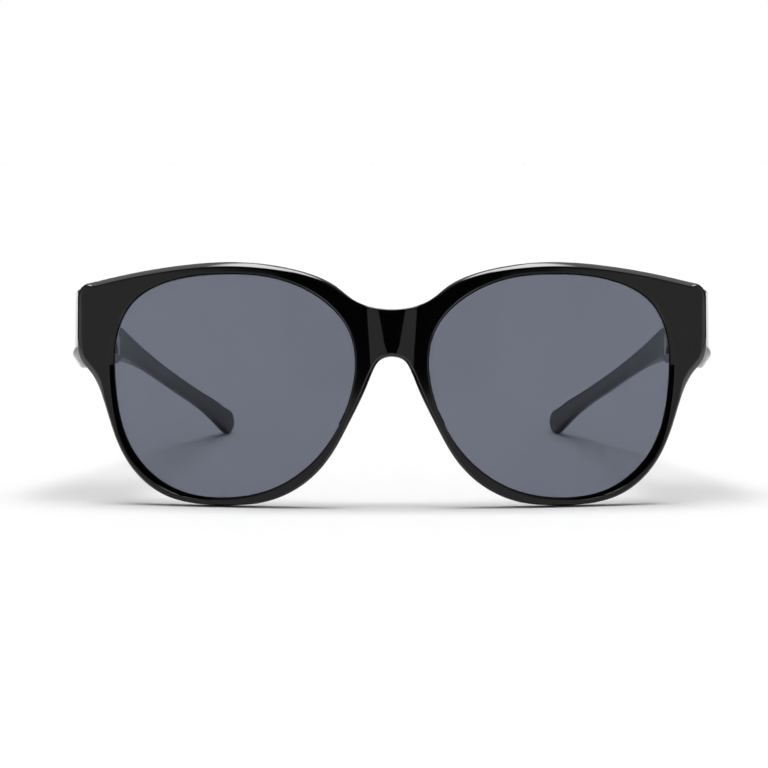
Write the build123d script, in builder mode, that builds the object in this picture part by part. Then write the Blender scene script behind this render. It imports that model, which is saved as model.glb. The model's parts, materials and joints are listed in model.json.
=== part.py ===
from build123d import *
from math import asin, atan2, cos, degrees, hypot, radians, sin, sqrt, tan
import os

os.makedirs("parts", exist_ok=True)

# Fitover sunglasses: a front with two lenses, and two temples on screwed metal hinges.
# Lengths are millimetres and angles are degrees.
# Every piece is made in the upright frame of the front: X runs across, Y runs back from
# the front face at the bridge, and Z runs up from the bottom of the rims. At the end the
# whole part leans back until rims and temple tips stand on Z = 0.
# The wearer's left is at +X. Left pieces are made first and mirrored to the right.

# Front moulding
front_width = 150.0
front_height = 57.4
rim_thickness = 3.8
wrap_radius = 280.0
corner_radius = 3.4
brow_bevel = 1.5
rim_round = 0.6
back_round = 0.4

# Rims round the lens openings, and the lenses in their grooves
rim_above = 2.9
rim_below = 1.9
rim_outside = 9.0
rim_at_nose = 2.55
lens_thickness = 1.2
lens_recess = 0.9
lens_bevel = 0.45
groove_depth = 0.7
groove_clearance = 0.04

# Nose ridges, moulded on the back of the front
ridge_width = 1.9
ridge_inset = 0.5
ridge_depth = 3.2
ridge_round = 0.6

# Temples, and the end pieces that they meet at the joint
joint_y = 22.0
joint_gap = 0.15
temple_length = 130.7
temple_drop = 8.97
root_below_brow = 7.5
root_height = 14.6
root_corner = 1.3
root_inset = 5.6
root_toe_in = 4.5
shoulder_drop = 1.9
shoulder_length = 13.0
end_piece_flare = 0.5
inner_bow_radius = 650.0
arm_height = 4.4
arm_thickness = 2.4
shoulder_swell = 6.4
paddle_height = 6.9
paddle_droop = 0.5
temple_round = 0.9

# Hinges: three knuckles on the front leaf and two on the temple leaf
knuckle_count = 5
knuckle_height = 1.6
knuckle_gap = 0.06
knuckle_radius = 1.5
knuckle_wall_gap = 0.35
pin_radius = 0.7
pin_clearance = 0.05
pin_head_radius = 1.25
pin_head_height = 0.7
leaf_thickness = 1.0
leaf_inlay = 0.4
leaf_height = 7.4
leaf_clearance = 0.03
leaf_round = 1.2
front_leaf_length = 6.4
temple_leaf_length = 10.0

# Small screws that hold the leaves
anchor_radius = 0.6
anchor_length = 2.6
anchor_head_radius = 1.05
anchor_head_height = 0.5
anchor_spacing = 3.8
front_anchor_distance = 4.4
temple_anchor_distances = (4.4, 9.2)
slot_width = 0.35
slot_depth = 0.3

overrun = 5.0

# Outline of the front for one half, as shares of the half width and of the height
brow_shares = [(0, 0.800), (0.075, 0.814), (0.125, 0.844), (0.176, 0.897), (0.252, 0.946),
               (0.353, 0.980), (0.507, 1.000), (0.659, 0.990), (0.814, 0.962), (1, 0.912)]
rim_shares = [(1, 0.648), (0.991, 0.607), (0.962, 0.560), (0.936, 0.507), (0.913, 0.433),
              (0.875, 0.285), (0.810, 0.138), (0.711, 0.040), (0.520, 0), (0.389, 0.0165),
              (0.273, 0.089), (0.200, 0.186), (0.136, 0.331), (0.082, 0.477),
              (0.058, 0.553), (0.032, 0.597), (0, 0.607)]
ridge_shares = rim_shares[12:15]

# Outline of a lens opening, as shares of its half width and half height about its centre
lens_shares = [(0.075, 1.000), (0.522, 0.947), (0.842, 0.758), (0.985, 0.400), (0.984, 0),
               (0.843, -0.558), (0.455, -0.930), (0.061, -1.000), (-0.305, -0.930),
               (-0.756, -0.560), (-0.972, -0.050), (-1.000, 0.182), (-0.937, 0.503),
               (-0.690, 0.790), (-0.274, 0.972)]

# Lower edge of a temple: share of its length, then how far it has thinned from root to arm
taper_shares = [(0.060, 0.000), (0.108, 0.090), (0.140, 0.330), (0.173, 0.570),
                (0.215, 0.715), (0.270, 0.815), (0.388, 0.930), (0.700, 1.000)]
paddle_start_share = 0.859

# Outer face of a temple in plan: share of its length, then share of the shoulder's swell
swell_shares = [(0, 0.890), (0.038, 0.985), (0.089, 0.966), (0.147, 0.760), (0.215, 0.460),
                (0.285, 0.170), (0.370, 0.020), (0.475, 0), (0.750, 0)]
paddle_curve_shares = (0.887, 0.935)

half_width = front_width / 2
lens_inner_x = half_width * rim_shares[13][0] + rim_at_nose
lens_width = half_width - rim_outside - lens_inner_x
lens_height = front_height - rim_above - rim_below
lens_centre_x = lens_inner_x + lens_width / 2
lens_centre_z = rim_below + lens_height / 2
root_top = front_height - root_below_brow
arm_top = root_top - shoulder_drop
shoulder_height = root_height - shoulder_drop
root_inner_x = half_width - root_inset
hinge_centre_z = arm_top - root_height / 2
plan_length = temple_length * cos(radians(temple_drop))
root_depth = root_height / cos(radians(temple_drop))
leaf_start = knuckle_radius + knuckle_wall_gap
hinge_x = root_inner_x - leaf_start
hinge_height = knuckle_count * knuckle_height + (knuckle_count - 1) * knuckle_gap
hinge_bottom = hinge_centre_z - hinge_height / 2


def front_y(x):
    """Depth of the curved front face at a distance x from the bridge."""
    return wrap_radius - sqrt(wrap_radius**2 - x**2)


def inner_x(y):
    """Where the bowed inner face of the left temple lies at a depth y."""
    toe_in = radians(root_toe_in)
    centre_x = root_inner_x - inner_bow_radius * cos(toe_in)
    centre_y = joint_y - inner_bow_radius * sin(toe_in)
    return centre_x + sqrt(inner_bow_radius**2 - (y - centre_y)**2)


def along_temple(distance, height):
    """Side view point at a distance along the temple and a height over its top edge."""
    drop = radians(temple_drop)
    return (joint_y + distance * cos(drop) + height * sin(drop),
            arm_top - distance * sin(drop) + height * cos(drop))


def both_halves(points):
    """Outline points for the whole width, from those that run outwards from the bridge."""
    return [(-x, z) for x, z in points[:0:-1]] + points


def wrapped_plate(front_depth, back_depth):
    """Curved plate between two depths behind the front face, larger than the front."""
    with BuildPart() as plate:
        with BuildSketch(Plane.XY.offset(-overrun)):
            with Locations((0, wrap_radius)):
                Circle(wrap_radius - front_depth)
                Circle(wrap_radius - back_depth, mode=Mode.SUBTRACT)
        extrude(amount=front_height + 2 * overrun)
    return plate.part


def lens_block(grow=0):
    """Solid through the left lens opening from front to back, grown on every side."""
    with BuildPart() as block:
        with BuildSketch(Plane.XZ):
            with BuildLine():
                Spline([(lens_centre_x + (lens_width / 2 + grow) * x,
                         lens_centre_z + (lens_height / 2 + grow) * z)
                        for x, z in lens_shares], periodic=True)
            make_face()
        extrude(amount=joint_y, both=True)
    return block.part


def lens_sheet(grow, front_depth, back_depth):
    """Curved sheet of the lens outline between two depths behind the front face."""
    with BuildPart() as sheet:
        add(lens_block(grow))
        add(wrapped_plate(front_depth, back_depth), mode=Mode.INTERSECT)
    return sheet.part


def at_depth(edge, depth):
    """Whether an edge lies on the curved surface at a depth behind the front face."""
    offsets = [hypot(p.X, p.Y - wrap_radius) - wrap_radius + depth
               for p in (edge @ 0, edge @ 0.5, edge @ 1)]
    return max(abs(offset) for offset in offsets) < back_round / 10


# Front outline, seen from the front
brow = [(half_width * x, front_height * z) for x, z in brow_shares]
rim = [(half_width * x, front_height * z) for x, z in rim_shares[::-1]]
with BuildSketch(Plane.XZ) as front_outline:
    with BuildLine():
        Spline(both_halves(brow))
        Spline(both_halves(rim))
        Line(brow[-1], rim[-1])
        mirror(Line(brow[-1], rim[-1], mode=Mode.PRIVATE), about=Plane.YZ)
    make_face()
    fillet(front_outline.vertices().group_by(Axis.Y)[-1], corner_radius)

# Brow bevel: what lies above a line that is lower by the bevel and by the depth of the face,
# cut away along a slope of 45 degrees
bevel_line = [(x, z - brow_bevel - front_y(x)) for x, z in brow]
bevel_end = (half_width + overrun, bevel_line[-1][1])
with BuildSketch(Plane.XZ) as above_brow:
    with BuildLine():
        Spline(both_halves(bevel_line))
        Polyline(bevel_line[-1], bevel_end, (bevel_end[0], front_height),
                 (-bevel_end[0], front_height), (-bevel_end[0], bevel_end[1]),
                 (-bevel_line[-1][0], bevel_line[-1][1]))
    make_face()

# End piece: it runs back from the plate to the joint, in line with the temple
end_piece_front = front_y(half_width) + rim_thickness / 3
front_rise = (joint_y - end_piece_front) * tan(radians(temple_drop))
joint_outer_x = root_inner_x + arm_thickness + shoulder_swell * swell_shares[0][1]
end_piece_middle = ((half_width + joint_outer_x) / 2 + end_piece_flare,
                    (end_piece_front + joint_y) / 2)
with BuildPart() as end_piece:
    with BuildSketch(Plane.YZ):
        with BuildLine():
            Polyline((joint_y, root_top), (end_piece_front, root_top + front_rise),
                     (end_piece_front, root_top + front_rise - root_depth),
                     (joint_y, root_top - root_depth), close=True)
        make_face()
    extrude(amount=front_width)
    with BuildSketch(Plane.XY) as end_piece_plan:
        with BuildLine():
            ThreePointArc((half_width, end_piece_front), end_piece_middle, (joint_outer_x, joint_y))
            Polyline((joint_outer_x, joint_y), (root_inner_x, joint_y),
                     (root_inner_x, end_piece_front), (half_width, end_piece_front))
        make_face()
    extrude(amount=front_height, mode=Mode.INTERSECT)
    fillet(end_piece.faces().sort_by(Axis.Z)[-1].edges().sort_by(Axis.X)[::3], temple_round)
    chamfer(end_piece.faces().sort_by(Axis.Z)[0].edges().sort_by(Axis.X)[-1], root_corner)

# Nose ridge, one on each side of the cutout
ridge = [(half_width * x, front_height * z) for x, z in ridge_shares]
with BuildPart() as nose_ridge:
    with BuildSketch(Plane.XZ):
        with BuildLine():
            Spline([(x + ridge_inset, z) for x, z in ridge])
            Spline([(x + ridge_inset + ridge_width, z) for x, z in ridge])
            for x, z in (ridge[0], ridge[-1]):
                Line((x + ridge_inset, z), (x + ridge_inset + ridge_width, z))
        make_face()
    extrude(amount=-(rim_thickness + ridge_depth))
    ridge_middle = (rim_thickness + ridge_depth, (ridge[0][1] + ridge[-1][1]) / 2)
    with BuildSketch(Plane.YZ):
        with BuildLine():
            ridge_arc = ThreePointArc((rim_thickness / 2, ridge[0][1]), ridge_middle,
                                      (rim_thickness / 2, ridge[-1][1]))
            Line(ridge_arc @ 1, ridge_arc @ 0)
        make_face()
    extrude(amount=half_width, mode=Mode.INTERSECT)
    fillet([edge for edge in nose_ridge.edges() if (edge @ 0.5).Y > rim_thickness], ridge_round)

# Faces that the hinge leaves lie on: out along X, and along each leaf from the joint
leaf_origin = (root_inner_x, joint_y, hinge_centre_z)
toe_in = radians(root_toe_in)
front_leaf_face = Plane(leaf_origin, x_dir=(0, -1, 0), z_dir=(1, 0, 0))
temple_leaf_face = Plane(leaf_origin, x_dir=(-sin(toe_in), cos(toe_in), 0),
                         z_dir=(cos(toe_in), sin(toe_in), 0))
front_anchors = [(front_anchor_distance, anchor_spacing / 2),
                 (front_anchor_distance, -anchor_spacing / 2)]
temple_anchors = [(distance, 0) for distance in temple_anchor_distances]


def leaf_plate(face, length, clearance=0):
    """Plate of a hinge leaf on its face, or with a clearance the pocket that it lies in."""
    with BuildPart() as plate:
        with BuildSketch(face.offset(leaf_inlay - leaf_thickness - clearance)) as outline:
            with Locations((leaf_start + length / 2, 0)):
                Rectangle(length + 2 * clearance, leaf_height + 2 * clearance)
            fillet(outline.vertices().group_by(Axis.X)[-1], leaf_round)
        extrude(amount=leaf_thickness + 2 * clearance)
    return plate.part


def anchor_holes(face, places):
    """Solids of the screw holes through a leaf and into the plastic behind it."""
    with BuildPart() as holes:
        with BuildSketch(face.offset(-leaf_thickness)):
            with Locations(places):
                Circle(anchor_radius + leaf_clearance)
        extrude(amount=leaf_inlay + anchor_length)
    return holes.part


def hinge_leaf(face, length, numbers, places):
    """Leaf with the knuckles that have these numbers, counted from the bottom."""
    plate = leaf_plate(face, length)
    holes = anchor_holes(face, places)
    neck_length = leaf_start + leaf_thickness
    with BuildPart() as leaf:
        add(plate)
        for number in numbers:
            low = hinge_bottom + number * (knuckle_height + knuckle_gap)
            height = low + knuckle_height / 2 - hinge_centre_z
            with BuildSketch(face):
                with Locations((neck_length / 2, height)):
                    Rectangle(neck_length, knuckle_height)
            extrude(amount=-leaf_thickness)
            with BuildSketch(Plane.XY.offset(low)):
                with Locations((hinge_x, joint_y)):
                    Circle(knuckle_radius)
            extrude(amount=knuckle_height)
        add(holes, mode=Mode.SUBTRACT)
        with BuildSketch(Plane.XY.offset(hinge_bottom)):
            with Locations((hinge_x, joint_y)):
                Circle(pin_radius + pin_clearance)
        extrude(amount=hinge_height, mode=Mode.SUBTRACT)
    return leaf.part


def anchor_screws(face, places):
    """Two small slotted screws through a leaf."""
    seat = face.offset(leaf_inlay - leaf_thickness)
    with BuildPart() as screws:
        with BuildSketch(seat):
            with Locations(places):
                Circle(anchor_radius)
        extrude(amount=anchor_length)
        with BuildSketch(seat):
            with Locations(places):
                Circle(anchor_head_radius)
        extrude(amount=-anchor_head_height)
        with BuildSketch(seat.offset(-anchor_head_height)):
            with Locations(places):
                Rectangle(slot_width, 2 * anchor_head_radius)
        extrude(amount=slot_depth, mode=Mode.SUBTRACT)
    return screws.part


def mirrored(piece):
    """The same piece for the wearer's right."""
    with BuildPart() as right:
        mirror(piece.part, about=Plane.YZ)
    return right


# Front moulding
front_plate = wrapped_plate(0, rim_thickness)
lens_hole = lens_block()
lens_groove = lens_sheet(groove_depth + groove_clearance, lens_recess - groove_clearance,
                         lens_recess + lens_thickness + groove_clearance)
front_pocket = leaf_plate(front_leaf_face, front_leaf_length, leaf_clearance)
front_holes = anchor_holes(front_leaf_face, front_anchors)
with BuildPart() as front_frame:
    extrude(front_outline.sketch, amount=joint_y, both=True)
    add(front_plate, mode=Mode.INTERSECT)
    fillet([edge for edge in front_frame.edges() if at_depth(edge, 0)], rim_round)
    fillet([edge for edge in front_frame.edges() if at_depth(edge, rim_thickness)], back_round)
    extrude(above_brow.sketch, amount=joint_y, dir=(0, 1, 1), mode=Mode.SUBTRACT)
    for solid in (end_piece.part, nose_ridge.part):
        add(solid)
        mirror(solid, about=Plane.YZ)
    for solid in (lens_hole, lens_groove, front_pocket, front_holes):
        add(solid, mode=Mode.SUBTRACT)
        mirror(solid, about=Plane.YZ, mode=Mode.SUBTRACT)
    openings = [edge for edge in front_frame.edges()
                if at_depth(edge, 0) and edge.length > lens_height * 2]
    chamfer(openings, lens_bevel)

# Lenses
with BuildPart() as lens_left:
    add(lens_sheet(groove_depth, lens_recess, lens_recess + lens_thickness))
lens_right = mirrored(lens_left)

# Temple: its side view, cut to its bowed plan
tip_distance = temple_length - paddle_height / 2
tip_height = -paddle_droop - paddle_height / 2
temple_y = joint_y + joint_gap
temple_end_y = joint_y + plan_length + overrun
temple_pocket = leaf_plate(temple_leaf_face, temple_leaf_length, leaf_clearance)
temple_holes = anchor_holes(temple_leaf_face, temple_anchors)
with BuildPart() as temple_left:
    with BuildSketch(Plane.YZ) as temple_side:
        with BuildLine():
            top_start = (temple_y, root_top - joint_gap * tan(radians(temple_drop)))
            low_start = (temple_y, top_start[1] - root_depth)
            paddle_start = along_temple(paddle_start_share * temple_length, 0)
            tip_top = along_temple(tip_distance, -paddle_droop)
            tip_low = along_temple(tip_distance, -paddle_droop - paddle_height)
            lower = [along_temple(share * temple_length,
                                  thinned * (shoulder_height - arm_height) - shoulder_height)
                     for share, thinned in taper_shares]
            curve_out, curve_in = [share * temple_length for share in paddle_curve_shares]
            shoulder_end = along_temple(shoulder_length, 0)
            Bezier(top_start, along_temple(shoulder_length / 2, shoulder_drop),
                   along_temple(shoulder_length / 2, 0), shoulder_end)
            Line(shoulder_end, paddle_start)
            Bezier(paddle_start, along_temple(curve_in, 0),
                   along_temple(curve_out, -paddle_droop), tip_top)
            ThreePointArc(tip_top, along_temple(temple_length, tip_height), tip_low)
            Bezier(tip_low, along_temple(curve_in, -paddle_droop - paddle_height),
                   along_temple(curve_out, -arm_height), lower[-1])
            Spline([low_start] + lower)
            Line(low_start, top_start)
        make_face()
    extrude(amount=front_width)
    with BuildSketch(Plane.XY) as temple_plan:
        with BuildLine():
            middle_y = (temple_y + temple_end_y) / 2
            outer = [(inner_x(temple_y + share * plan_length) + arm_thickness
                      + swell * shoulder_swell, temple_y + share * plan_length)
                     for share, swell in swell_shares]
            outer_end = (inner_x(temple_end_y) + arm_thickness, temple_end_y)
            bow = ThreePointArc((inner_x(temple_y), temple_y), (inner_x(middle_y), middle_y),
                                (inner_x(temple_end_y), temple_end_y))
            Spline(outer + [outer_end])
            Line(bow @ 1, outer_end)
            Line(bow @ 0, outer[0])
        make_face()
    extrude(amount=front_height, mode=Mode.INTERSECT)
    at_joint = temple_left.faces().sort_by(Axis.Y)[0].edges()
    fillet([edge for edge in temple_left.edges() if edge not in at_joint], temple_round)
    with BuildSketch(Plane.XZ.offset(-temple_y)) as root_corner_cut:
        with BuildLine():
            Polyline((joint_outer_x - root_corner - overrun, low_start[1] - overrun),
                     (joint_outer_x + overrun, low_start[1] + root_corner + overrun),
                     (joint_outer_x + overrun, low_start[1] - overrun), close=True)
        make_face()
    extrude(amount=2 * joint_y, dir=(0, cos(radians(temple_drop)), -sin(radians(temple_drop))),
            mode=Mode.SUBTRACT)
    add(temple_pocket, mode=Mode.SUBTRACT)
    add(temple_holes, mode=Mode.SUBTRACT)
temple_right = mirrored(temple_left)

# Hinges and their screws
with BuildPart() as front_hinge_left:
    add(hinge_leaf(front_leaf_face, front_leaf_length, range(0, knuckle_count, 2), front_anchors))
with BuildPart() as temple_hinge_left:
    add(hinge_leaf(temple_leaf_face, temple_leaf_length, range(1, knuckle_count, 2),
                   temple_anchors))
with BuildPart() as front_hinge_screws_left:
    add(anchor_screws(front_leaf_face, front_anchors))
with BuildPart() as temple_hinge_screws_left:
    add(anchor_screws(temple_leaf_face, temple_anchors))
with BuildPart() as hinge_screw_left:
    with BuildSketch(Plane.XY.offset(hinge_bottom)):
        with Locations((hinge_x, joint_y)):
            Circle(pin_radius)
    extrude(amount=hinge_height)
    with BuildSketch(Plane.XY.offset(hinge_bottom + hinge_height)):
        with Locations((hinge_x, joint_y)):
            Circle(pin_head_radius)
    extrude(amount=pin_head_height)
    with BuildSketch(Plane.XY.offset(hinge_bottom + hinge_height + pin_head_height)):
        with Locations((hinge_x, joint_y)):
            Rectangle(slot_width, 2 * pin_head_radius)
    extrude(amount=-slot_depth, mode=Mode.SUBTRACT)

front_hinge_right = mirrored(front_hinge_left)
temple_hinge_right = mirrored(temple_hinge_left)
front_hinge_screws_right = mirrored(front_hinge_screws_left)
temple_hinge_screws_right = mirrored(temple_hinge_screws_left)
hinge_screw_right = mirrored(hinge_screw_left)

# How far the part leans back: the line that touches the rounding of the rims' bottom and
# the round of the temple tips
rim_low_x = half_width * rim_shares[8][0]
rim_point = (front_y(rim_low_x) + rim_thickness - back_round, back_round)
tip_point = along_temple(tip_distance, tip_height)
rise = atan2(tip_point[1] - rim_point[1], tip_point[0] - rim_point[0])
reach = hypot(tip_point[1] - rim_point[1], tip_point[0] - rim_point[0])
lean = degrees(rise - asin((paddle_height / 2 - back_round) / reach))

pieces = {
    "front_frame": front_frame,
    "lens_right": lens_right,
    "lens_left": lens_left,
    "temple_right": temple_right,
    "temple_left": temple_left,
    "front_hinge_right": front_hinge_right,
    "front_hinge_left": front_hinge_left,
    "temple_hinge_right": temple_hinge_right,
    "temple_hinge_left": temple_hinge_left,
    "hinge_screw_right": hinge_screw_right,
    "hinge_screw_left": hinge_screw_left,
    "front_hinge_screws_right": front_hinge_screws_right,
    "front_hinge_screws_left": front_hinge_screws_left,
    "temple_hinge_screws_right": temple_hinge_screws_right,
    "temple_hinge_screws_left": temple_hinge_screws_left,
}
leaned = Rotation(-lean, 0, 0)
whole = Compound([leaned * piece.part for piece in pieces.values()]).bounding_box()
stance = Pos(0, -(whole.min.Y + whole.max.Y) / 2, -whole.min.Z) * leaned
for name, piece in pieces.items():
    piece.part = stance * piece.part
    piece.part.label = name
    export_step(piece.part, f"parts/{name}.step")

axis_point = stance * Pos(hinge_x, joint_y, hinge_centre_z)
print("lean", round(lean, 3))
print("left hinge axis through", axis_point.position)
print("size", whole.size)
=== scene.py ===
import json
import math

import bpy
import bmesh
import numpy as np
from mathutils import Matrix, Vector


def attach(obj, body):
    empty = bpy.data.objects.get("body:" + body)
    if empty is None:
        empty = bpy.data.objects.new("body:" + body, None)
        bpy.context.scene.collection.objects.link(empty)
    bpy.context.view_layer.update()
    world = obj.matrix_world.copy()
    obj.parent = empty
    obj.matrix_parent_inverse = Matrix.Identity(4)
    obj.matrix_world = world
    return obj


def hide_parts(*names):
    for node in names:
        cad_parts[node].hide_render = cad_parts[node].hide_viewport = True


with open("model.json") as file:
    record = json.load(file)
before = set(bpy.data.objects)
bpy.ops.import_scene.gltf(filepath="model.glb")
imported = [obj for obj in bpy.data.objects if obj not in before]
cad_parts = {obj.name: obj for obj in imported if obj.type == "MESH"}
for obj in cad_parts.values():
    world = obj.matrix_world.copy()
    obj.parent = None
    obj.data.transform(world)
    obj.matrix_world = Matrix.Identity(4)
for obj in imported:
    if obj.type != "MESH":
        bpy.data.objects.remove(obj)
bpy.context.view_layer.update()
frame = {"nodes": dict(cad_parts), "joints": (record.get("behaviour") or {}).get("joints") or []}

# Lengths are millimetres in the upright frame of the front, which is X across, Y back from
# the front face at the bridge and Z up from the bottom of the rims. place() leans the points
# back into the frame of the part and turns them to metres.
mm = 0.001

front = {
    "width": 150.0, "height": 57.4, "thickness": 3.8, "wrapRadius": 280.0,
    "topCornerRadius": 3.4, "backRound": 0.4,
    "rimAbove": 2.9, "rimBelow": 1.9, "rimOutside": 9.0, "rimAtNose": 2.55,
    # Outline in shares of the half width and the height: the brow, then the rim from the side
    # round to the nose, where nosePoint is the row beside the nose
    "browShares": [(0, 0.800), (0.075, 0.814), (0.125, 0.844), (0.176, 0.897), (0.252, 0.946),
                   (0.353, 0.980), (0.507, 1.000), (0.659, 0.990), (0.814, 0.962), (1, 0.912)],
    "rimShares": [(1, 0.648), (0.991, 0.607), (0.962, 0.560), (0.936, 0.507), (0.913, 0.433),
                  (0.875, 0.285), (0.810, 0.138), (0.711, 0.040), (0.520, 0), (0.389, 0.0165),
                  (0.273, 0.089), (0.200, 0.186), (0.136, 0.331), (0.082, 0.477),
                  (0.058, 0.553), (0.032, 0.597), (0, 0.607)],
    "nosePoint": 13,
    # Outer edge along the outline: place in shares, bevel width, bevel depth, flatness
    "edge": [((0, 0.800), 0.4, 0.4, 0), ((0.125, 0.844), 0.6, 0.6, 0.2),
             ((0.200, 0.918), 1.6, 1.4, 0.1), ((0.300, 0.965), 2.3, 1.6, 0.15),
             ((0.350, 0.980), 1.7, 1.45, 0.6), ((0.430, 0.993), 1.5, 1.35, 1.0),
             ((0.955, 0.927), 1.5, 1.35, 1.0), ((0.975, 0.919), 0.7, 0.6, 0.3),
             ((1, 0.800), 1.5, 0.5, 0), ((1, 0.690), 1.5, 0.5, 0),
             ((0.991, 0.607), 1.4, 1.4, 1.0), ((0.936, 0.507), 1.35, 1.35, 0.9),
             ((0.913, 0.433), 0.6, 0.6, 0.3), ((0.875, 0.285), 0.5, 0.5, 0.3),
             ((0.711, 0.040), 0.45, 0.75, 1.0), ((0.389, 0.0165), 0.45, 0.75, 1.0),
             ((0.200, 0.186), 0.6, 0.6, 0.6), ((0.082, 0.477), 0.95, 0.95, 0.9),
             ((0, 0.607), 0.8, 0.8, 0.8)],
    # Mesh: points of the fine outline, steps along it, rows over each face, and how near the
    # first two rows of the face and the back lie to their edges
    "finePoints": 6001, "columnStep": 0.5, "cornerStep": 0.25, "faceRows": 34, "wallRows": 4,
    "roundRows": 4, "backRows": 12, "faceEnds": (0.02, 0.05), "backEnds": (0.04, 0.08),
    "sharpAngle": 34,
}
temple = {
    "jointY": 22.0, "jointGap": 0.15, "length": 130.7, "drop": 8.97, "rootBelowBrow": 7.5,
    "rootHeight": 14.6, "rootCorner": 1.3, "rootInset": 5.6, "toeIn": 4.5, "bowRadius": 650.0,
    "shoulderDrop": 1.9, "shoulderLength": 13.0,
    "armHeight": 4.4, "armThickness": 2.4, "swell": 6.4, "paddleHeight": 6.9, "droop": 0.5,
    "round": 0.9, "jointRound": 0.15,
    # How far the arm has thinned, and how far the swell of the root is left, along the length
    "taperShares": [(0.060, 0.000), (0.108, 0.090), (0.140, 0.330), (0.173, 0.570),
                    (0.215, 0.715), (0.270, 0.815), (0.388, 0.930), (0.700, 1.000)],
    "swellShares": [(0, 0.890), (0.038, 0.985), (0.089, 0.966), (0.147, 0.760),
                    (0.215, 0.460), (0.285, 0.170), (0.370, 0.020), (0.475, 0), (0.750, 0)],
    "paddleStart": 0.859, "paddleCurve": (0.887, 0.935),
    # End piece of the front that meets the temple: where it starts in the front's thickness,
    # how far its side bulges, and the round of its corners
    "endPieceStart": 1 / 3, "endPieceFlare": 0.5, "endPieceRound": 0.45,
    # Mesh: sections, which lie closer towards the tip, points of a quarter and of an eighth
    # round, least size of a section over its corner radius, and points of the side lines
    "stations": 230, "stationPower": 1.35, "endPieceStations": 24, "endRows": 3,
    "cornerRows": (7, 4), "roundLimit": 2.01, "linePoints": 60, "finePoints": 400,
    "tipPoints": 121, "tipShrink": 0.4, "sharpAngle": 50,
}
hinge = {"knuckleRadius": 1.5, "wallGap": 0.35}

halfWidth = front["width"] / 2
halfSize = np.array([halfWidth, front["height"]])
rootInnerX = halfWidth - temple["rootInset"]
rootTop = front["height"] - temple["rootBelowBrow"]
armTop = rootTop - temple["shoulderDrop"]
shoulderHeight = temple["rootHeight"] - temple["shoulderDrop"]
drop = math.radians(temple["drop"])
jointOuterX = rootInnerX + temple["armThickness"] + temple["swell"] * temple["swellShares"][0][1]

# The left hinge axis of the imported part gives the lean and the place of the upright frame
hingeJoint = {joint["name"]: joint for joint in frame["joints"]}["temple_fold_left"]
lean = math.atan2(hingeJoint["axis"][1], hingeJoint["axis"][2])
hingePoint = Vector((rootInnerX - hinge["knuckleRadius"] - hinge["wallGap"], temple["jointY"],
                     armTop - temple["rootHeight"] / 2)) * mm
stance = (Matrix.Translation(hingeJoint["pos_m"]) @ Matrix.Rotation(-lean, 4, "X")
          @ Matrix.Translation(-hingePoint))


def place(points):
    turned = np.array(stance)
    return np.asarray(points, float).reshape(-1, 3) * mm @ turned[:3, :3].T + turned[:3, 3]


def frontY(x):
    return front["wrapRadius"] - np.sqrt(front["wrapRadius"] ** 2 - np.asarray(x) ** 2)


def smoothCurve(points, count, closed=False):
    # Cubic spline through the points, sampled evenly along its chords
    p = np.array(points + points[:1] if closed else points, float)
    t = np.r_[0, np.cumsum(np.linalg.norm(np.diff(p, axis=0), axis=1))]
    h, n = np.diff(t), len(p)
    slopes = np.diff(p, axis=0) / h[:, None]
    left, right = np.eye(n), np.zeros((n, p.shape[1]))
    for i in range(1, n - 1):
        left[i, i - 1:i + 2] = h[i - 1], 2 * (h[i - 1] + h[i]), h[i]
        right[i] = 6 * (slopes[i] - slopes[i - 1])
    if closed:
        left[0, -1] = -1
        left[-1, [0, 1, -2, -1]] = 2 * h[0], h[0], h[-1], 2 * h[-1]
        right[-1] = 6 * (slopes[0] - slopes[-1])
    m = np.linalg.solve(left, right)
    s = np.linspace(0, t[-1], count)
    k = np.clip(np.searchsorted(t, s, "right") - 1, 0, n - 2)
    a, b, hk = (t[k + 1] - s)[:, None], (s - t[k])[:, None], h[k][:, None]
    return ((m[k] * a ** 3 + m[k + 1] * b ** 3) / (6 * hk) + (p[k] / hk - m[k] * hk / 6) * a
            + (p[k + 1] / hk - m[k + 1] * hk / 6) * b)


def bezier(points, count):
    t = np.linspace(0, 1, count)[:, None]
    a, b, c, d = [np.array(p, float) for p in points]
    return a * (1 - t) ** 3 + 3 * b * t * (1 - t) ** 2 + 3 * c * t ** 2 * (1 - t) + d * t ** 3


def rightNormals(curve, closed=False):
    # Unit vectors to the right of the way that the curve runs
    if closed:
        steps = np.roll(curve, -1, 0) - np.roll(curve, 1, 0)
    else:
        steps = np.gradient(curve, axis=0)
    steps = steps / np.linalg.norm(steps, axis=1)[:, None]
    return np.c_[steps[:, 1], -steps[:, 0]]


def resample(curve, step):
    length = np.r_[0, np.cumsum(np.linalg.norm(np.diff(curve, axis=0), axis=1))]
    at = np.linspace(0, length[-1], max(3, int(length[-1] / step) + 1))
    return np.c_[np.interp(at, length, curve[:, 0]), np.interp(at, length, curve[:, 1])]


def quarterRound(rows):
    # Shares of a radius round a quarter circle: what is left one way and gained the other
    turns = np.linspace(0, math.pi / 2, rows + 1)
    return np.c_[1 - np.sin(turns), 1 - np.cos(turns)]


def closeAtEnds(ends, count):
    # Shares from 0 to 1: even rows between, and one more row close to each end
    close, first = ends
    return np.r_[0, close, np.linspace(first, 1 - first, count), 1 - close, 1]


def mirrored(points):
    return np.asarray(points, float) * (-1, 1, 1)


def bothSides(shares):
    return [(-x, z) for x, z in shares[:0:-1]] + shares


def ringFaces(rings, count):
    # Faces between closed rings of count points each, one ring after another
    return [(i * count + j, i * count + (j + 1) % count,
             (i + 1) * count + (j + 1) % count, (i + 1) * count + j)
            for i in range(rings - 1) for j in range(count)]


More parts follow.
